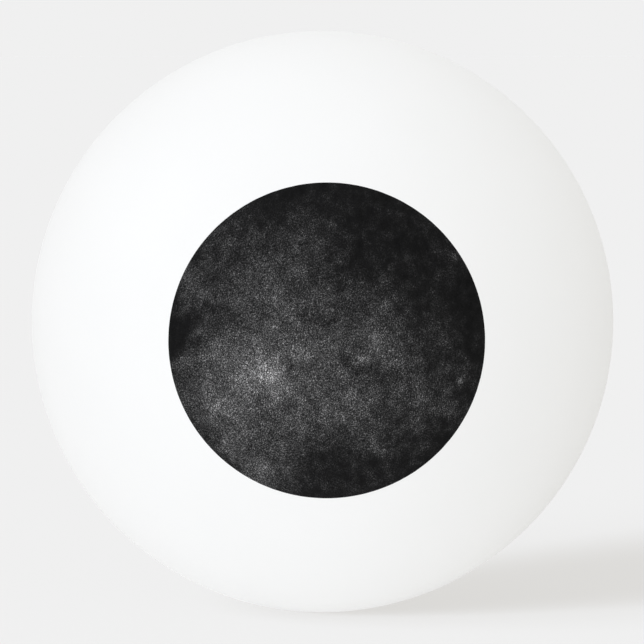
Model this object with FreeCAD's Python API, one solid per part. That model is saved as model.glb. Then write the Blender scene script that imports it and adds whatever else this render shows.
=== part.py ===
"""A printed table tennis ball, in millimetres.

The ball is a sealed hollow sphere, made of two moulded half shells that are cemented together. Each
of its solids is a profile turned about the Y axis, through the ball's centre at the origin. +Z is up.

    front_half_shell   the -Y half: a thin dome that ends in a locating lip, which reaches into the rear half
    rear_half_shell    the +Y half: a thin dome with a plain rim, which slides over that lip
    seam_cement        the ring of solvent cement in the lap joint, with its squeezed-out bead inside
    printed_disc       the film of printing ink, a cap over the front dome's pole that faces -Y

A profile is drawn in the XY plane. A point of it is given by its radius from the ball's centre and its
y, or by that radius and its angle from the seam plane: -90 degrees is the front pole, 0 the seam and
+90 the rear pole.
"""

import FreeCAD, Part

import math
import os

# Driving dimensions.
BALL_DIAMETER = 40.0
WALL = 0.485
CEMENT_FILM = 0.04  # the gap that the cement fills, between the rims and in the lap
LIP_THICKNESS = 0.34
LIP_REACH = 1.5  # how far the lip passes the seam plane
LIP_ROOT = 1.8  # how far the lip's thicker band runs back into the front dome
ROOT_TAPER = 1.0  # over which that band thins out to the wall
RIM_CHAMFER = 0.05  # on the outer corner of both rims, which leaves a fine V groove
GROOVE_DEPTH = 0.015  # how far the cement stays below the ball's surface
LEAD_IN = 0.14  # chamfer inside the rear rim, which guides it over the lip
BEAD_LENGTH = 0.55  # squeezed-out cement beyond the lip's tip
BEAD_BULGE = 0.06  # how far that bead's free face stands above its chord
PRINT_DIAMETER = 20.6  # straight across the printed disc
INK_THICKNESS = 0.025
INK_FEATHER = 0.06  # over which the ink thins out at the disc's edge
PLASTIC_DENSITY = 1.05e-3  # of ABS, in grams per cubic millimetre

# Radii from the ball's centre, and places along Y.
OUTER = BALL_DIAMETER / 2
INNER = OUTER - WALL
LIP_OUTER = INNER - CEMENT_FILM
LIP_INNER = LIP_OUTER - LIP_THICKNESS
RIM_Y = CEMENT_FILM / 2  # how far each rim stands from the seam plane
PRINT_ANGLE = math.degrees(math.asin(PRINT_DIAMETER / 2 / OUTER))

ORIGIN = FreeCAD.Vector(0, 0, 0)
TURNING_AXIS = FreeCAD.Vector(0, 1, 0)
FRONT_POLE, REAR_POLE = -90.0, 90.0


def at_angle(radius, degrees):
    """The profile point at this radius and this angle from the seam plane."""
    turn = math.radians(degrees)
    return FreeCAD.Vector(radius * math.cos(turn), radius * math.sin(turn), 0)


def at_y(radius, y):
    """The profile point at this radius from the ball's centre and at this y."""
    return FreeCAD.Vector(math.sqrt(radius**2 - y**2), y, 0)


def angle_of(point):
    """A profile point's angle from the seam plane, in degrees."""
    return math.degrees(math.atan2(point.y, point.x))


def line(start, end):
    return Part.LineSegment(start, end).toShape()


def arc(start, middle, end):
    return Part.Arc(start, middle, end).toShape()


def concentric(start, end):
    """The arc about the ball's centre between two points at the same radius."""
    return arc(start, at_angle(start.Length, (angle_of(start) + angle_of(end)) / 2), end)


def turned(profile):
    """The solid that a closed profile sweeps in a full turn about the Y axis."""
    solid = Part.Face(Part.Wire(profile)).revolve(ORIGIN, TURNING_AXIS, 360)
    if solid.Volume < 0:
        solid.reverse()
    return solid


def rim_corners(side):
    """Both corners of a rim's outer chamfer, on the ball's surface and on the rim. side is -1 or +1."""
    on_surface = at_y(OUTER, side * (RIM_Y + RIM_CHAMFER))
    on_rim = FreeCAD.Vector(OUTER - RIM_CHAMFER, side * RIM_Y, 0)
    return on_surface, on_rim


def lead_in_corners():
    """Both corners of the chamfer inside the rear rim, on the rim and on the dome's inner wall."""
    return FreeCAD.Vector(INNER + LEAD_IN, RIM_Y, 0), at_y(INNER, RIM_Y + LEAD_IN)


def lip_end():
    """The lip's round end: its outer corner, its foremost point and its inner corner."""
    outer = at_y(LIP_OUTER, LIP_REACH)
    inner = at_angle(LIP_INNER, angle_of(outer))
    along_lip = FreeCAD.Vector(-outer.y, outer.x, 0).normalize()
    return outer, (outer + inner) / 2 + along_lip * LIP_THICKNESS / 2, inner


def front_half_shell():
    outer_pole = at_angle(OUTER, FRONT_POLE)
    inner_pole = at_angle(INNER, FRONT_POLE)
    on_surface, on_rim = rim_corners(-1)
    shoulder = at_y(LIP_OUTER, -RIM_Y)
    end_outer, end_tip, end_inner = lip_end()
    band_back = at_y(LIP_INNER, -LIP_ROOT)
    taper_back = at_y(INNER, -LIP_ROOT - ROOT_TAPER)
    return turned([
        concentric(outer_pole, on_surface),
        line(on_surface, on_rim),
        line(on_rim, shoulder),
        concentric(shoulder, end_outer),
        arc(end_outer, end_tip, end_inner),
        concentric(end_inner, band_back),
        line(band_back, taper_back),
        concentric(taper_back, inner_pole),
        line(inner_pole, outer_pole),
    ])


def rear_half_shell():
    outer_pole = at_angle(OUTER, REAR_POLE)
    inner_pole = at_angle(INNER, REAR_POLE)
    on_surface, on_rim = rim_corners(1)
    lead_rim, lead_wall = lead_in_corners()
    return turned([
        concentric(outer_pole, on_surface),
        line(on_surface, on_rim),
        line(on_rim, lead_rim),
        line(lead_rim, lead_wall),
        concentric(lead_wall, inner_pole),
        line(inner_pole, outer_pole),
    ])


def seam_cement():
    """Fills the V groove up to GROOVE_DEPTH, then the gap, then the lap, and ends in a bead past the lip."""
    front_surface, front_rim = rim_corners(-1)
    rear_surface, rear_rim = rim_corners(1)
    share_left_empty = GROOVE_DEPTH / RIM_CHAMFER
    front_top = front_surface + (front_rim - front_surface) * share_left_empty
    rear_top = rear_surface + (rear_rim - rear_surface) * share_left_empty
    shoulder = at_y(LIP_OUTER, -RIM_Y)
    end_outer, end_tip, end_inner = lip_end()
    end_centre = (end_outer + end_inner) / 2
    towards_quarter = (end_outer + end_tip - end_centre * 2).normalize()
    end_quarter = end_centre + towards_quarter * LIP_THICKNESS / 2
    bead_back = at_y(INNER, LIP_REACH + BEAD_LENGTH)
    chord = bead_back - end_tip
    away_from_wall = FreeCAD.Vector(-chord.y, chord.x, 0).normalize()
    bead_middle = (end_tip + bead_back) / 2 + away_from_wall * BEAD_BULGE
    lead_rim, lead_wall = lead_in_corners()
    return turned([
        line(front_top, front_rim),
        line(front_rim, shoulder),
        concentric(shoulder, end_outer),
        arc(end_outer, end_quarter, end_tip),
        arc(end_tip, bead_middle, bead_back),
        concentric(bead_back, lead_wall),
        line(lead_wall, lead_rim),
        line(lead_rim, rear_rim),
        line(rear_rim, rear_top),
        line(rear_top, front_top),
    ])


def printed_disc():
    ink_surface = OUTER + INK_THICKNESS
    edge_angle = FRONT_POLE + PRINT_ANGLE
    feather_angle = math.degrees(INK_FEATHER / OUTER)
    under_pole = at_angle(OUTER, FRONT_POLE)
    under_edge = at_angle(OUTER, edge_angle)
    top_edge = at_angle(ink_surface, edge_angle - feather_angle)
    top_pole = at_angle(ink_surface, FRONT_POLE)
    return turned([
        concentric(under_pole, under_edge),
        line(under_edge, top_edge),
        concentric(top_edge, top_pole),
        line(top_pole, under_pole),
    ])


def main():
    os.makedirs("parts", exist_ok=True)
    grams = 0.0
    for make in (front_half_shell, rear_half_shell, seam_cement, printed_disc):
        solid = make()
        solid.exportStep(f"parts/{make.__name__}.step")
        grams += solid.Volume * PLASTIC_DENSITY
        print(f"{make.__name__}: {solid.ShapeType}, valid {solid.isValid()}, {solid.Volume:.2f} mm3")
    print(f"the whole ball: {grams:.3f} g")


main()
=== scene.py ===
"""The looks of a printed table tennis ball, built around its solid model.

The ball's centre is the origin, the print faces -Y, the seam lies in the plane Y = 0 and +Z is up. All
lengths are in metres, apart from textures, which count in millimetres. Each piece is a surface of turning
about the Y axis, worked out on a grid of rows along its profile by turns round the ball.
"""

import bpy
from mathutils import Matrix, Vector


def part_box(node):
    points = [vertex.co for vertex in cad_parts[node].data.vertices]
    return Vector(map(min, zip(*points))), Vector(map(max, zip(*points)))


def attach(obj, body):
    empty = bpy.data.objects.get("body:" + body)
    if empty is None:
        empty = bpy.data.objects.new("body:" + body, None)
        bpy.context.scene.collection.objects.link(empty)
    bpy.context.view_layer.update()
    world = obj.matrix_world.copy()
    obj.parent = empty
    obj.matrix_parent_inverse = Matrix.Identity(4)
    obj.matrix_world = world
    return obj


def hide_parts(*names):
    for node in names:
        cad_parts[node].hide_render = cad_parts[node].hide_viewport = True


bl_info = {
    "name": "Printed Table Tennis Ball",
    "version": (1, 0, 0),
    "blender": (4, 5, 0),
    "location": "3D View > Sidebar > Table Tennis Ball",
    "description": "Builds the half shells, seam cement, print and studio of a table tennis ball",
    "category": "Add Mesh",
}

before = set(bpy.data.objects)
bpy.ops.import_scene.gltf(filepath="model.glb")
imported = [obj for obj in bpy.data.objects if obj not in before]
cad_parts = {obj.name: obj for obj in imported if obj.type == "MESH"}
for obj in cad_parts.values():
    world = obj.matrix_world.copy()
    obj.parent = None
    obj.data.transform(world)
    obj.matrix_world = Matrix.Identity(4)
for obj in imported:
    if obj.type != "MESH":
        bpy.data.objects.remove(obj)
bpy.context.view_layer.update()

import math

import bpy
import numpy as np
from bpy.props import FloatProperty, FloatVectorProperty, IntProperty, PointerProperty
from mathutils import Vector

MM = 0.001
PER_MM = 1000.0
BODY = "root"
QUARTER_TURN = math.pi / 2

# Rows along each stretch of a profile.
DOME_ROWS = 150
HOLLOW_ROWS = 64
LIP_ROWS = 10
LIP_END_ROWS = 9
PRINT_ROWS = 118
PRINT_UNDER_ROWS = 24

# The seam and the print from close up.
RIM_STRAY = 0.018 * MM  # how far a chamfer's edge strays along the seam
BUFFED_DEPTH = 0.004 * MM  # of the buffed band along the seam
BUFFED_WIDTH = 0.9 * MM
LEFT_EMPTY = 0.3  # how much of the groove's depth the cement leaves empty, as a share
LEFT_EMPTY_STRAY = 0.12  # how far that share strays along the seam
CEMENT_DIP = 0.004 * MM  # how far the cement sinks between both edges of the groove
INK_FEATHER = 0.06 * MM  # over which the ink thins out at the disc's edge
INK_STRAY = 0.006 * MM  # how far that edge strays
INK_LOSS = 0.35  # the share of its thickness that the most worn ink has lost
MOST_WEAR = 2.5  # the wear at which it has lost that

SHARP_ANGLE = math.radians(28)  # past which an edge is shaded as sharp
SENSOR_WIDTH = 36.0  # of the camera, in millimetres


def node_reach(name):
    """How near to the ball's centre a node's points come."""
    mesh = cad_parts[name].data
    points = np.empty(len(mesh.vertices) * 3)
    mesh.vertices.foreach_get("co", points)
    return float(np.linalg.norm(points.reshape(-1, 3), axis=1).min())


BALL_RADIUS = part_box("rear_half_shell")[1].y
REAR_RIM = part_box("rear_half_shell")[0].y
LIP_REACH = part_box("front_half_shell")[1].y
BEAD_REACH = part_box("seam_cement")[1].y
PRINT_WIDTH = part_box("printed_disc")[1].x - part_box("printed_disc")[0].x
INK_THICKNESS = -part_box("printed_disc")[0].y - BALL_RADIUS
HOLLOW_RADIUS = node_reach("rear_half_shell")
LIP_RADIUS = node_reach("front_half_shell")


def length(name, description, default, longest):
    """A length property in metres."""
    return FloatProperty(
        name=name, description=description, default=default,
        min=0.0, max=longest, precision=6, subtype="DISTANCE", unit="LENGTH",
    )


def angle(name, description, degrees):
    return FloatProperty(
        name=name, description=description, default=math.radians(degrees),
        min=-math.pi, max=math.pi, subtype="ANGLE", unit="ROTATION",
    )


def brightness(name, description, value):
    return FloatProperty(name=name, description=description, default=value, min=0.0, max=10.0)


def colour(name, description, default):
    return FloatVectorProperty(
        name=name, description=description, default=default,
        min=0.0, max=1.0, size=3, precision=4, subtype="COLOR",
    )


class BallSizes(bpy.types.PropertyGroup):
    """Sizes of the ball's pieces, which start from the solid model's own"""

    radius: length("Radius", "Outside radius of both half shells", BALL_RADIUS, 0.05)
    hollow_radius: length("Hollow Radius", "Radius of the hollow in both half shells", HOLLOW_RADIUS, 0.05)
    rim_gap: length("Rim Gap", "Gap between both rims, which the cement fills", 2 * REAR_RIM, 0.001)
    rim_chamfer: length("Rim Chamfer", "Chamfer on the outer corner of each rim", 0.05 * MM, 0.001)
    lip_film: length("Lap Film", "Cement between the lip and the rear half shell", 0.04 * MM, 0.001)
    lip_reach: length("Lip Reach", "How far the front half's lip enters the rear half", LIP_REACH, 0.01)
    lip_radius: length("Lip Radius", "Radius of the inside of that lip", LIP_RADIUS, 0.05)
    lip_root: length("Lip Root", "How far the lip's band runs back into the front half", 1.8 * MM, 0.01)
    root_taper: length("Root Taper", "Over which that band thins out to the wall", 1.0 * MM, 0.01)
    lead_in: length("Lead-In", "Chamfer on the inner corner of the rear rim", 0.14 * MM, 0.001)
    bead_reach: length("Bead Reach", "How far the squeezed-out cement enters the rear half", BEAD_REACH, 0.01)
    bead_bulge: length("Bead Bulge", "How far the bead's free face stands above its chord", 0.06 * MM, 0.001)
    print_width: length("Print Width", "Straight across the printed disc", PRINT_WIDTH, 0.04)
    ink_thickness: length("Ink Thickness", "Thickness of the ink where it is not worn", INK_THICKNESS, 0.001)
    turns: IntProperty(
        name="Turns", description="How many steps each surface takes round the ball",
        default=288, min=32, max=512,
    )


class BallColours(bpy.types.PropertyGroup):
    """Colours of the ball's materials"""

    shell: colour("Shell", "Matt white plastic of both half shells", (0.85, 0.842, 0.813))
    cement: colour("Cement", "Set cement in the seam", (0.84, 0.825, 0.785))
    ink: colour("Ink", "Printing ink where it is not worn", (0.0054, 0.0053, 0.0052))


class StudioSettings(bpy.types.PropertyGroup):
    """The backdrop, the floor, the lights and the camera"""

    backdrop: colour("Backdrop", "Even light from all round", (0.871, 0.871, 0.871))
    floor: colour("Floor", "What the floor gives back of the light on it", (0.127, 0.1255, 0.12))
    light: colour("Light", "Colour of the soft lights", (0.80, 0.86, 1.0))
    key_on_floor: brightness("Key on Floor", "Brightness of white floor under the key light", 0.55)
    rake_on_floor: brightness("Rake on Floor", "Brightness of white floor under the raking light", 0.87)
    upper_on_ball: brightness("Upper on Ball", "Brightness of white that faces the upper light", 0.305)
    lower_on_ball: brightness("Lower on Ball", "Brightness of white that faces the lower light", 0.255)
    camera_distance: length("Camera Distance", "From the camera to the ball's centre", 15 * BALL_RADIUS, 5.0)
    camera_azimuth: angle("Camera Azimuth", "How far the camera stands towards +X of the print", -0.95)
    camera_elevation: angle("Camera Elevation", "How far the camera stands above the ball's centre", 4.21)
    aim_left: length("Aim Left", "How far to the left of the ball's centre the camera looks", 0.03 * MM, 0.01)
    aim_drop: length("Aim Drop", "How far below the ball's centre the camera looks", 0.039 * MM, 0.01)
    focal_length: FloatProperty(
        name="Focal Length", description="Of the lens, with a sensor 36 mm wide",
        default=243.3, min=10.0, max=1000.0, subtype="DISTANCE_CAMERA", unit="CAMERA",
    )


# Surfaces of turning. A point of a profile is a complex number: how far out from the Y axis, plus i times
# its place along Y. A profile is a list of blocks of rows, each with one column, or with one for each turn.


def arc(radius, start, end, rows):
    """Rows of an arc about the ball's centre: r e^(ia), for angles a spaced evenly from start to end.

    An angle is counted from the seam plane towards +Y, and may differ from turn to turn."""
    share = np.linspace(0, 1, rows)[:, None]
    return radius * np.exp(1j * (start + (end - start) * share))


def place(out, along):
    """One row of a profile."""
    return np.atleast_2d(out + 1j * along)


def rim_angle(radius, along):
    """The angle at which a sphere of this radius comes to this place along Y."""
    return np.arcsin(along / radius)


def wander(turns, seed, waves):
    """A smooth line round the ball, from -1 to 1: a sum of cosines of 1, 2, ... waves per turn.

    Each has its own random height, from 0.3 to 1, and its own random start."""
    dice = np.random.default_rng(seed)
    t = np.linspace(0, 2 * math.pi, turns, endpoint=False)
    heights = dice.uniform(0.3, 1.0, (waves, 1))
    starts = dice.uniform(0, 2 * math.pi, (waves, 1))
    line = (heights * np.cos(np.arange(1, waves + 1)[:, None] * t + starts)).sum(axis=0)
    return line / np.abs(line).max()


def chamfer(sizes, side):
    """Both edges of a rim's outer chamfer: where it leaves the ball's surface, and where it meets the rim.

    The first strays a little from turn to turn. side is -1 for the front rim and 1 for the rear rim."""
    rim = sizes.rim_gap / 2
    stray = RIM_STRAY * wander(sizes.turns, seed=5 + side, waves=17)
    top = rim_angle(sizes.radius, side * (rim + sizes.rim_chamfer + stray))
    return arc(sizes.radius, top, top, 1), place(sizes.radius - sizes.rim_chamfer, side * rim)


def buffed(points):
    """Draws points towards the ball's centre by depth e^(-(y / width)^2), where the seam was buffed."""
    return points * (1 - BUFFED_DEPTH * np.exp(-(points.imag / BUFFED_WIDTH) ** 2) / np.abs(points))


def lip_end(sizes, start, end, rows):
    """Rows of the lip's round end: e^(ig) (m + h e^(ib)), for b from start to end. m is the radius at the
    middle of the lip's thickness, h half that thickness, and g the angle at which the end is centred."""
    lip_outer = sizes.hollow_radius - sizes.lip_film
    half = (lip_outer - sizes.lip_radius) / 2
    middle = lip_outer - half
    centre = math.asin((sizes.lip_reach - half) / middle)
    return np.exp(1j * centre) * (middle + arc(half, start, end, rows))


def bead_face(sizes, start, end, rows):
    """Rows of the bead's free face, a parabola: s + c k + 4 h n k (1 - k), for k from 0 to 1.

    s is its start, c its chord, n the direction from the chord into the hollow and h the bead's bulge."""
    share = np.linspace(0, 1, rows)[:, None]
    chord = end - start
    to_hollow = -1j * chord / abs(chord)
    return start + chord * share + to_hollow * 4 * sizes.bead_bulge * share * (1 - share)


def front_half_profile(sizes):
    """From the outer pole over the dome to the rim, along the lip and back inside to the inner pole."""
    top, foot = chamfer(sizes, -1)
    lip_outer = sizes.hollow_radius - sizes.lip_film
    end = lip_end(sizes, 0, math.pi, LIP_END_ROWS)
    band_back = rim_angle(sizes.lip_radius, -sizes.lip_root)
    taper_back = rim_angle(sizes.hollow_radius, -sizes.lip_root - sizes.root_taper)
    return [
        buffed(arc(sizes.radius, -QUARTER_TURN, np.angle(top), DOME_ROWS)[1:]),
        foot,
        arc(lip_outer, rim_angle(lip_outer, -sizes.rim_gap / 2), np.angle(end[0]), LIP_ROWS)[:-1],
        end,
        arc(sizes.lip_radius, np.angle(end[-1]), band_back, LIP_ROWS)[1:],
        arc(sizes.hollow_radius, taper_back, -QUARTER_TURN, HOLLOW_ROWS)[:-1],
    ]


def rear_half_profile(sizes):
    """From the inner pole down the hollow to the rim, and back over the dome to the outer pole."""
    top, foot = chamfer(sizes, 1)
    lead_wall = rim_angle(sizes.hollow_radius, sizes.rim_gap / 2 + sizes.lead_in)
    return [
        arc(sizes.hollow_radius, QUARTER_TURN, lead_wall, HOLLOW_ROWS)[1:],
        place(sizes.hollow_radius + sizes.lead_in, sizes.rim_gap / 2),
        foot,
        buffed(arc(sizes.radius, np.angle(top), QUARTER_TURN, DOME_ROWS)[:-1]),
    ]


def cement_profile(sizes):
    """Across the groove, down the rear rim, along the lap to the bead, round the lip's end and back."""
    front_top, front_foot = chamfer(sizes, -1)
    rear_top, rear_foot = chamfer(sizes, 1)
    left_empty = LEFT_EMPTY + LEFT_EMPTY_STRAY * wander(sizes.turns, seed=9, waves=23)
    front_edge = front_top + (front_foot - front_top) * left_empty
    rear_edge = rear_top + (rear_foot - rear_top) * left_empty
    lead_wall = rim_angle(sizes.hollow_radius, sizes.rim_gap / 2 + sizes.lead_in)
    bead_back = rim_angle(sizes.hollow_radius, sizes.bead_reach)
    bead_wall = arc(sizes.hollow_radius, lead_wall, bead_back, LIP_ROWS)
    end = lip_end(sizes, QUARTER_TURN, 0, LIP_END_ROWS)
    lip_outer = sizes.hollow_radius - sizes.lip_film
    return [
        front_edge,
        (front_edge + rear_edge) / 2 - CEMENT_DIP,
        rear_edge,
        rear_foot,
        place(sizes.hollow_radius + sizes.lead_in, sizes.rim_gap / 2),
        bead_wall,
        bead_face(sizes, bead_wall[-1, 0], end[0, 0], LIP_END_ROWS)[1:-1],
        end,
        arc(lip_outer, np.angle(end[-1]), rim_angle(lip_outer, -sizes.rim_gap / 2), LIP_ROWS)[1:],
        front_foot,
    ]


def grid_faces(rows, turns, joined):
    """Quads between rows i and i + 1 and turns j and j + 1.

    The last turn meets the first, and so do the rows if they are joined."""
    i = np.arange(rows if joined else rows - 1)[:, None]
    j = np.arange(turns)[None, :]
    next_i, next_j = (i + 1) % rows, (j + 1) % turns
    corners = (i * turns + j, next_i * turns + j, next_i * turns + next_j, i * turns + next_j)
    return np.stack(np.broadcast_arrays(*corners), axis=-1).reshape(-1, 4).tolist()


def pole_fan(first, pole, turns, opening):
    """Triangles between the row that begins at point first and a pole. opening is True before that row."""
    here = first + np.arange(turns)
    following = first + (np.arange(turns) + 1) % turns
    tip = np.full(turns, pole)
    corners = (tip, here, following) if opening else (here, tip, following)
    return np.stack(corners, axis=-1).tolist()


def turned_points(profile, turns):
    """Points (out cos t, along, out sin t) by rows and turns, where t = 2 pi j / turns."""
    rows = np.vstack([np.broadcast_to(block, (len(block), turns)) for block in profile])
    t = np.linspace(0, 2 * math.pi, turns, endpoint=False)
    return np.stack([rows.real * np.cos(t), rows.imag, rows.real * np.sin(t)], axis=-1)


def turned_piece(name, points, poles=None):
    """A mesh on a grid of points by rows and turns, which go anticlockwise round the solid's section.

    Where the rows run from axis to axis, poles gives both ends' places along Y, and a fan closes each."""
    rows, turns, _ = points.shape
    points = points.reshape(-1, 3)
    faces = grid_faces(rows, turns, joined=poles is None)
    if poles is not None:
        points = np.vstack([points, [(0, along, 0) for along in poles]])
        faces += pole_fan(0, rows * turns, turns, opening=True)
        faces += pole_fan((rows - 1) * turns, rows * turns + 1, turns, opening=False)
    mesh = bpy.data.meshes.new(name)
    mesh.from_pydata(points.tolist(), [], faces)
    mesh.polygons.foreach_set("use_smooth", np.ones(len(mesh.polygons), dtype=bool))
    mesh.set_sharp_from_angle(angle=SHARP_ANGLE)
    piece = bpy.data.objects.new(name, mesh)
    bpy.context.scene.collection.objects.link(piece)
    return piece


# The print. Its wear is drawn in fractions of its half width, right and up from its middle as it faces you.

WORN = (  # right, up, half width, half height, how worn
    (-0.22, -0.20, 0.78, 0.60, 1.45),
    (-0.46, 0.50, 0.42, 0.34, 0.50),
    (-0.56, -0.42, 0.32, 0.36, 0.50),
    (0.76, -0.30, 0.20, 0.28, 0.60),
    (-0.37, -0.18, 0.12, 0.08, 0.30),
    (-0.40, -0.25, 0.24, 0.14, 0.40),
    (-0.62, -0.06, 0.14, 0.08, 0.10),
    (-0.84, -0.14, 0.11, 0.10, 0.40),
    (-0.66, -0.42, 0.09, 0.08, 0.35),
    (-0.58, -0.61, 0.08, 0.08, 0.45),
    (-0.38, -0.84, 0.15, 0.12, 0.80),
    (-0.30, 0.12, 0.08, 0.16, 0.45),
    (-0.13, 0.60, 0.07, 0.09, 0.38),
    (-0.86, 0.38, 0.09, 0.14, 0.60),
    (0.30, 0.10, 0.20, 0.16, 0.28),
    (0.57, -0.33, 0.05, 0.10, 0.25),
    (0.56, -0.51, 0.05, 0.07, 0.45),
    (0.31, -0.68, 0.09, 0.07, 0.50),
    (0.38, 0.26, 0.08, 0.06, 0.30),
    (-0.72, 0.28, 0.12, 0.12, 0.50),
    (0.28, 0.30, 0.14, 0.10, 0.25),
    (0.06, -0.92, 0.14, 0.10, 0.30),
    (-0.10, 0.42, 0.16, 0.16, 0.35),
    (0.14, 0.10, 0.18, 0.10, 0.25),
    (0.42, -0.08, 0.14, 0.12, 0.30),
    (0.30, 0.02, 0.16, 0.16, 0.20),
    (-0.50, 0.68, 0.12, 0.08, 0.30),
    (0.72, 0.08, 0.12, 0.12, 0.35),
)
MARKS = (  # the same, for small worn marks whose outlines aren't bent by noise
    (0.22, -0.095, 0.045, 0.020, 1.00),
    (0.84, -0.25, 0.016, 0.022, 1.50),
    (0.57, -0.32, 0.030, 0.080, 0.40),
    (0.80, 0.54, 0.040, 0.025, 0.60),
    (0.69, 0.40, 0.030, 0.030, 0.50),
    (-0.36, -0.30, 0.030, 0.020, 0.30),
)
UNWORN = (  # the same as WORN, for how much wear is missing
    (-0.95, 0.06, 0.12, 0.10, 1.80),
    (-0.77, 0.18, 0.09, 0.05, 0.60),
    (0.11, -0.12, 0.06, 0.10, 0.50),
    (-0.06, 0.17, 0.14, 0.05, 0.35),
    (0.12, 0.50, 0.10, 0.09, 0.22),
    (0.06, -0.78, 0.18, 0.16, 0.42),
    (0.82, -0.66, 0.16, 0.14, 0.60),
    (0.35, 0.62, 0.26, 0.18, 0.50),
    (0.90, 0.02, 0.22, 0.30, 0.45),
    (-0.28, 0.95, 0.30, 0.14, 0.40),
    (0.56, 0.16, 0.11, 0.14, 0.45),
    (0.20, 0.92, 0.25, 0.12, 0.25),
    (-0.10, -0.28, 0.12, 0.26, 0.25),
)
WEAR = "wear"  # the attribute that holds it
FAINT_WEAR = 0.12  # where there is no patch
BENDS = ((0.10, 0.22, 11), (0.05, 0.09, 12), (0.06, 0.04, 15))  # reach, size, seed
CLOUDS = ((0.465, 0.16, 21), (0.4125, 0.075, 22), (0.3375, 0.035, 23))  # how worn, size, seed


def cloud(right, up, size, seed):
    """Smooth noise from -0.5 to 0.5: random heights on a square lattice.

    They are blended by 3 s^2 - 2 s^3 of a point's place s in its square."""
    side = 64
    heights = np.random.default_rng(seed).random((side, side))
    column, s = np.divmod(right / size, 1)
    row, t = np.divmod(up / size, 1)
    column = column.astype(int) % side
    row = row.astype(int) % side
    next_column = (column + 1) % side
    next_row = (row + 1) % side
    s = s * s * (3 - 2 * s)
    t = t * t * (3 - 2 * t)
    lower = heights[column, row] * (1 - s) + heights[next_column, row] * s
    upper = heights[column, next_row] * (1 - s) + heights[next_column, next_row] * s
    return lower * (1 - t) + upper * t - 0.5


def wear(right, up):
    """How far the ink is worn, from 0: soft patches e^(-(dx / w)^2 - (dy / h)^2), on a plane bent by noise.

    Marks lie on the plain plane. Finer clouds are added, and log(1 + e^(4 x)) / 4 keeps the sum x above 0."""
    bent_right = right.copy()
    bent_up = up.copy()
    for reach, size, seed in BENDS:
        bent_right += reach * cloud(right, up, size, seed)
        bent_up += reach * cloud(right, up, size, seed + 2)
    total = np.full_like(right, FAINT_WEAR)
    drawn = (
        (1, WORN, bent_right, bent_up),
        (-1, UNWORN, bent_right, bent_up),
        (1, MARKS, right, up),
    )
    for sign, patches, x, y in drawn:
        for across, above, width, height, amount in patches:
            spread = ((x - across) / width) ** 2 + ((y - above) / height) ** 2
            total += sign * amount * np.exp(-spread)
    for amount, size, seed in CLOUDS:
        total += amount * cloud(right, up, size, seed)
    return np.logaddexp(0, 4 * total) / 4


def ink_points(sizes):
    """The ink's upper face from its pole to its edge, and its under face back to the pole, by rows and turns.

    The upper face lies at R + d (1 - 0.35 w), with d the ink's thickness and w its wear from 0 to 1."""
    half = sizes.print_width / 2
    stray = INK_STRAY / sizes.radius * wander(sizes.turns, seed=31, waves=90)
    edge = -QUARTER_TURN + math.asin(half / sizes.radius) + stray
    upper = arc(sizes.radius, -QUARTER_TURN, edge - INK_FEATHER / sizes.radius, PRINT_ROWS)[1:]
    under = arc(sizes.radius, edge, -QUARTER_TURN, PRINT_UNDER_ROWS)[:-1]
    points = turned_points([upper, under], sizes.turns)
    worn = np.clip(wear(points[..., 0] / half, points[..., 2] / half) / MOST_WEAR, 0, 1)
    thickness = sizes.ink_thickness * (1 - INK_LOSS * worn)
    thickness[len(upper):] = 0
    return points * (1 + thickness / sizes.radius)[..., None]


# Materials. Their textures read the piece's own coordinates, in millimetres.


class Finish:
    """A material of one Principled shader, and short ways to add the nodes that feed it."""

    def __init__(self, name, **plain):
        self.material = bpy.data.materials.new(name)
        self.material.use_nodes = True
        self.tree = self.material.node_tree
        self.shader = self.tree.nodes["Principled BSDF"]
        self.shader.location = (1400, 0)
        self.steps = 0
        for socket, value in plain.items():
            self.set(self.shader, socket.replace("_", " "), value)

    def set(self, node, socket, value):
        """Links a socket to an output, or gives it a plain value."""
        if isinstance(value, bpy.types.NodeSocket):
            self.tree.links.new(value, node.inputs[socket])
        else:
            node.inputs[socket].default_value = value

    def add(self, kind, inputs, **settings):
        """A new node with these settings, whose inputs are given by name or number."""
        node = self.tree.nodes.new("ShaderNode" + kind)
        node.location = (-1400 + 200 * self.steps, -340)
        self.steps += 1
        for name, value in settings.items():
            setattr(node, name, value)
        for socket, value in inputs.items():
            self.set(node, socket, value)
        return node

    def millimetres(self, stretch=(1, 1, 1)):
        """The piece's own coordinates in millimetres, times a stretch along X, Y and Z."""
        place_on_ball = self.add("TexCoord", {}).outputs["Object"]
        scale = [PER_MM * part for part in stretch]
        return self.add("Mapping", {"Vector": place_on_ball, "Scale": scale}).outputs["Vector"]

    def noise(self, vector, size, detail, roughness=0.5, distortion=0.0):
        """Noise whose largest features are this many millimetres across."""
        inputs = {"Vector": vector, "Scale": 1 / size, "Detail": detail,
                  "Roughness": roughness, "Distortion": distortion}
        return self.add("TexNoise", inputs).outputs["Fac"]

    def remap(self, value, start, end, low, high):
        """Takes start to low and end to high, and stops there."""
        inputs = {0: value, 1: start, 2: end, 3: low, 4: high}
        return self.add("MapRange", inputs).outputs[0]

    def spread(self, noise, low, high):
        """Spreads noise, most of which lies between 0.3 and 0.7, from low to high."""
        return self.remap(noise, 0.3, 0.7, low, high)

    def maths(self, operation, *values):
        return self.add("Math", dict(enumerate(values)), operation=operation).outputs[0]

    def shaded(self, colour, share):
        """A colour times a number."""
        inputs = {0: tuple(colour), "Scale": share}
        return self.add("VectorMath", inputs, operation="SCALE").outputs[0]

    def bump(self, height, depth, strength=1.0):
        """Relief of this depth in metres."""
        return self.add("Bump", {"Height": height, "Distance": depth, "Strength": strength}).outputs[0]


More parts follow.
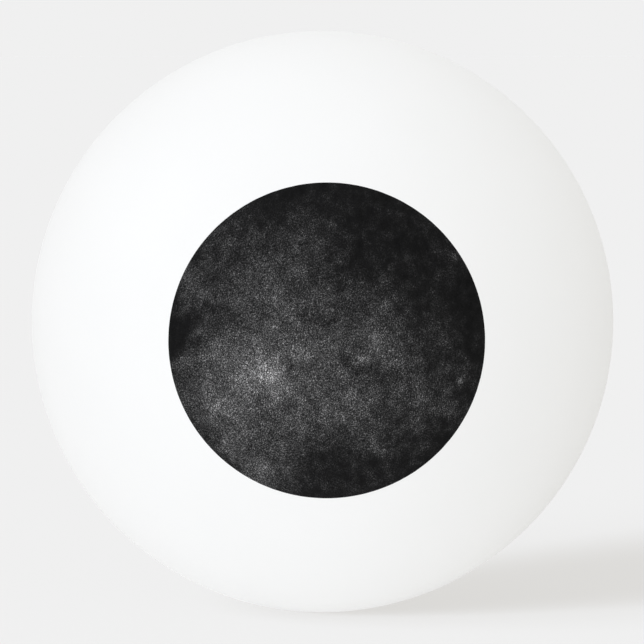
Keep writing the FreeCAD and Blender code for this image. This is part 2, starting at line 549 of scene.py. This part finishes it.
def shell_plastic(colours):
    """Matt white plastic: faint clouds from its uneven wall, a fine moulded grain and a buffed seam."""
    finish = Finish("shell_plastic", Specular_IOR_Level=0.18)
    spot = finish.millimetres()
    clouds = finish.noise(spot, size=9, detail=3)
    grain = finish.noise(spot, size=0.16, detail=4, roughness=0.65)
    lightness = finish.maths("ADD", finish.spread(clouds, 0.988, 1.0),
                             finish.spread(grain, -0.006, 0.0))
    from_seam = finish.maths("ABSOLUTE", finish.add("SeparateXYZ", {0: spot}).outputs["Y"])
    seam_sheen = finish.remap(from_seam, 0.4, 1.6, -0.12, 0.0)
    roughness = finish.maths("ADD", finish.spread(grain, 0.52, 0.64), seam_sheen)
    finish.set(finish.shader, "Base Color", finish.shaded(colours.shell, lightness))
    finish.set(finish.shader, "Roughness", roughness)
    finish.set(finish.shader, "Normal", finish.bump(grain, depth=0.003 * MM))
    return finish.material


def set_cement(colours):
    """Set cement: a shade warmer than the shells, glossier and unevenly filled."""
    finish = Finish("set_cement", Specular_IOR_Level=0.4)
    spot = finish.millimetres()
    runs = finish.noise(spot, size=1.4, detail=3)
    lightness = finish.spread(runs, 0.93, 1.0)
    finish.set(finish.shader, "Base Color", finish.shaded(colours.cement, lightness))
    finish.set(finish.shader, "Roughness", finish.spread(runs, 0.30, 0.48))
    finish.set(finish.shader, "Normal", finish.bump(runs, depth=0.01 * MM))
    return finish.material


def worn_ink(colours):
    """Matt near-black ink, lighter where it is worn: its colour times e^(1.38 w + k (grain - 0.5)).

    w is the wear plus a share of the mottling, and k, the grain's contrast, grows with w."""
    finish = Finish("worn_ink", Specular_IOR_Level=0.05)
    spot = finish.millimetres(stretch=(1, 1, 0.8))
    worn = finish.add("Attribute", {}, attribute_name=WEAR).outputs["Fac"]
    mottle = finish.noise(spot, size=0.9, detail=4.5, roughness=0.72)
    unevenness = finish.remap(worn, 0.1, 1.6, 2.6, 1.3)
    uneven = finish.maths("MULTIPLY", finish.maths("SUBTRACT", mottle, 0.5), unevenness)
    ragged = finish.maths("ADD", worn, uneven)
    grain = finish.noise(spot, size=0.066, detail=2.0, roughness=0.75)
    contrast = finish.remap(ragged, 0.08, 0.75, 3.0, 10.8)
    speckle = finish.maths("MULTIPLY", finish.maths("SUBTRACT", grain, 0.5), contrast)
    swell = finish.maths("MULTIPLY", ragged, 1.38)
    lightness = finish.maths("EXPONENT", finish.maths("ADD", swell, speckle))
    finish.set(finish.shader, "Base Color", finish.shaded(colours.ink, lightness))
    finish.set(finish.shader, "Roughness", finish.remap(worn, 0.0, MOST_WEAR, 0.62, 0.8))
    finish.set(finish.shader, "Normal", finish.bump(grain, depth=0.004 * MM))
    return finish.material


def finished(piece, material, node):
    """Gives a piece its material, sets it on the body that it rides on and hides the solid that it stands
    for.
    """
    piece.data.materials.append(material)
    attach(piece, BODY)
    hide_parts(node)


# Operators, in the order in which main calls them.


class BALL_OT_mould_half_shells(bpy.types.Operator):
    """Mould the front half shell, with its locating lip, and the plain rear half shell"""

    bl_idname = "ball.mould_half_shells"
    bl_label = "Mould Half Shells"

    def execute(self, context):
        sizes = context.scene.ball_sizes
        plastic = shell_plastic(context.scene.ball_colours)
        front = turned_piece(
            "front_shell", turned_points(front_half_profile(sizes), sizes.turns),
            poles=(-sizes.radius, -sizes.hollow_radius))
        finished(front, plastic, "front_half_shell")
        rear = turned_piece(
            "rear_shell", turned_points(rear_half_profile(sizes), sizes.turns),
            poles=(sizes.hollow_radius, sizes.radius))
        finished(rear, plastic, "rear_half_shell")
        return {"FINISHED"}


class BALL_OT_cement_seam(bpy.types.Operator):
    """Fill the seam's groove, gap and lap with cement, up to the bead inside"""

    bl_idname = "ball.cement_seam"
    bl_label = "Cement Seam"

    def execute(self, context):
        sizes = context.scene.ball_sizes
        ring = turned_piece("cement_ring", turned_points(cement_profile(sizes), sizes.turns))
        finished(ring, set_cement(context.scene.ball_colours), "seam_cement")
        return {"FINISHED"}


class BALL_OT_print_disc(bpy.types.Operator):
    """Print the worn disc of ink over the front half's pole"""

    bl_idname = "ball.print_disc"
    bl_label = "Print Disc"

    def execute(self, context):
        sizes = context.scene.ball_sizes
        points = ink_points(sizes)
        top = -np.linalg.norm(points[0], axis=-1).mean()
        disc = turned_piece("ink_disc", points, poles=(top, -sizes.radius))
        mesh = disc.data
        spots = np.empty(len(mesh.vertices) * 3)
        mesh.vertices.foreach_get("co", spots)
        right, _, up = spots.reshape(-1, 3).T / (sizes.print_width / 2)
        mesh.attributes.new(WEAR, "FLOAT", "POINT").data.foreach_set("value", wear(right, up))
        finished(disc, worn_ink(context.scene.ball_colours), "printed_disc")
        return {"FINISHED"}


class BALL_OT_set_up_studio(bpy.types.Operator):
    """Lay the floor, light it and aim the camera"""

    bl_idname = "ball.set_up_studio"
    bl_label = "Set Up Studio"

    def execute(self, context):
        studio = context.scene.ball_studio
        floor = lay_floor(studio, context.scene.ball_sizes)
        light_evenly(studio, context.scene)
        floor_lights = (  # azimuth, elevation, softness, brightness
            ("key_light", -52.5, 21, 40, studio.key_on_floor),
            ("raking_light", -52.5, 7, 14, studio.rake_on_floor),
        )
        for name, azimuth, elevation, softness, on_floor in floor_lights:
            facing = on_floor / math.sin(math.radians(elevation))
            sun = soft_sun(name, studio.light, facing, azimuth, elevation, softness)
            light_only(sun, floor, "INCLUDE")
        ball_lights = (  # azimuth, elevation, softness, brightness
            ("upper_light", -34, 51, 106, studio.upper_on_ball),
            ("lower_light", -34, -50, 106, studio.lower_on_ball),
        )
        for name, azimuth, elevation, softness, facing in ball_lights:
            sun = soft_sun(name, studio.light, facing, azimuth, elevation, softness)
            light_only(sun, floor, "EXCLUDE")
        aim_camera(studio, context.scene)
        return {"FINISHED"}


def lay_floor(studio, sizes):
    """A plain pale floor at the ball's foot.

    It glows as much as it takes to be as bright as the backdrop, so that its far edge doesn't show."""
    reach = 3.0
    corners = [(x * reach, y * reach, -sizes.radius) for x, y in ((-1, -1), (1, -1), (1, 1), (-1, 1))]
    mesh = bpy.data.meshes.new("floor")
    mesh.from_pydata(corners, [], [(0, 1, 2, 3)])
    floor = bpy.data.objects.new("floor", mesh)
    bpy.context.scene.collection.objects.link(floor)
    glow = [back - pale * (back + (studio.key_on_floor + studio.rake_on_floor) * light)
            for back, pale, light in zip(studio.backdrop, studio.floor, studio.light)]
    finish = Finish("pale_floor", Base_Color=(*studio.floor, 1), Roughness=1.0, Specular_IOR_Level=0.0,
                    Emission_Color=(*glow, 1), Emission_Strength=1.0)
    mesh.materials.append(finish.material)
    return floor


def light_evenly(studio, scene):
    """The backdrop's even light, shown as it is."""
    world = bpy.data.worlds.new("backdrop")
    world.use_nodes = True
    world.node_tree.nodes["Background"].inputs["Color"].default_value = (*studio.backdrop, 1)
    scene.world = world
    scene.view_settings.view_transform = "Standard"
    scene.view_settings.look = "None"


def towards(azimuth, elevation):
    """The direction from the ball to something at this azimuth, counted from -Y towards +X, and elevation."""
    level = Vector((math.sin(azimuth), -math.cos(azimuth), 0))
    return level * math.cos(elevation) + Vector((0, 0, math.sin(elevation)))


def soft_sun(name, colour, facing, azimuth, elevation, softness):
    """A far, wide, even light. facing is how bright it makes a white surface that faces it.

    azimuth, elevation and softness are in degrees."""
    light = bpy.data.lights.new(name, "SUN")
    light.color = colour
    light.energy = math.pi * facing
    light.angle = math.radians(softness)
    sun = bpy.data.objects.new(name, light)
    direction = towards(math.radians(azimuth), math.radians(elevation))
    sun.rotation_euler = direction.to_track_quat("Z", "Y").to_euler()
    sun.location = direction
    bpy.context.scene.collection.objects.link(sun)
    return sun


def light_only(sun, floor, choice):
    """Lets a light reach the floor alone ("INCLUDE") or everything but the floor, and past it ("EXCLUDE")."""
    reached = bpy.data.collections.new(sun.name + "_reaches")
    reached.objects.link(floor)
    reached.collection_objects[0].light_linking.link_state = choice
    sun.light_linking.receiver_collection = reached
    if choice == "EXCLUDE":
        sun.light_linking.blocker_collection = reached


def aim_camera(studio, scene):
    """Stands the camera in front of the print, a little above it."""
    lens = bpy.data.cameras.new("camera")
    lens.lens = studio.focal_length
    lens.sensor_width = SENSOR_WIDTH
    camera = bpy.data.objects.new("camera", lens)
    camera.location = towards(studio.camera_azimuth, studio.camera_elevation) * studio.camera_distance
    sight = Vector((-studio.aim_left, 0, -studio.aim_drop)) - camera.location
    camera.rotation_euler = sight.to_track_quat("-Z", "Y").to_euler()
    scene.collection.objects.link(camera)
    scene.camera = camera


STEPS = (BALL_OT_mould_half_shells, BALL_OT_cement_seam, BALL_OT_print_disc, BALL_OT_set_up_studio)


class BALL_PT_build(bpy.types.Panel):
    """The ball's steps, sizes and colours"""

    bl_idname = "BALL_PT_build"
    bl_label = "Table Tennis Ball"
    bl_space_type = "VIEW_3D"
    bl_region_type = "UI"
    bl_category = "Table Tennis Ball"

    def draw(self, context):
        for step in STEPS:
            self.layout.operator(step.bl_idname)
        for settings in (context.scene.ball_sizes, context.scene.ball_colours, context.scene.ball_studio):
            box = self.layout.box()
            for name in settings.__annotations__:
                box.prop(settings, name)


CLASSES = (BallSizes, BallColours, StudioSettings, *STEPS, BALL_PT_build)


def register():
    for kind in CLASSES:
        bpy.utils.register_class(kind)
    bpy.types.Scene.ball_sizes = PointerProperty(type=BallSizes)
    bpy.types.Scene.ball_colours = PointerProperty(type=BallColours)
    bpy.types.Scene.ball_studio = PointerProperty(type=StudioSettings)


def unregister():
    del bpy.types.Scene.ball_studio, bpy.types.Scene.ball_colours, bpy.types.Scene.ball_sizes
    for kind in reversed(CLASSES):
        bpy.utils.unregister_class(kind)


def main():
    register()
    bpy.ops.ball.mould_half_shells()
    bpy.ops.ball.cement_seam()
    bpy.ops.ball.print_disc()
    bpy.ops.ball.set_up_studio()


if __name__ == "__main__":
    main()
